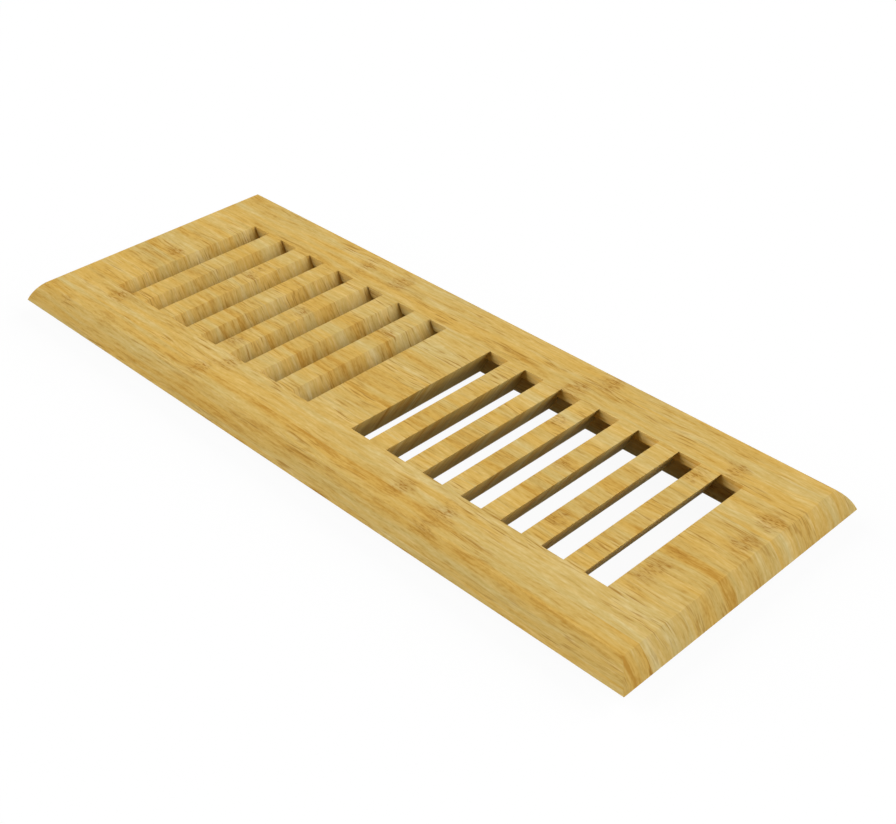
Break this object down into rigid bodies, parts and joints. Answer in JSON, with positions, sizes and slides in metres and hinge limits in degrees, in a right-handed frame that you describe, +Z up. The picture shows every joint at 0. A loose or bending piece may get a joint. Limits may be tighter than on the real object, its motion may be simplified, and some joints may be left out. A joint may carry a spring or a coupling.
{
  "type": "floor register",
  "caption": "Drop-in louvred floor register of natural bamboo: a flat rim with a rounded, mitred edge, a body that fits the duct opening, and two opposed banks of leaning slots.",
  "frame": {"origin": "middle of the drop-in body's flat underside, which is the lowest face", "axes": "+X along the register's length, +Y across its width, +Z up out of the floor"},
  "size_m": [0.351, 0.1396, 0.0177],
  "materials": {
    "bamboo": "natural bamboo board, milled, sanded and clear-coated to a satin"
  },
  "bodies": {
    "root": {"vent_cover": "bamboo"}
  },
  "joints": []
}
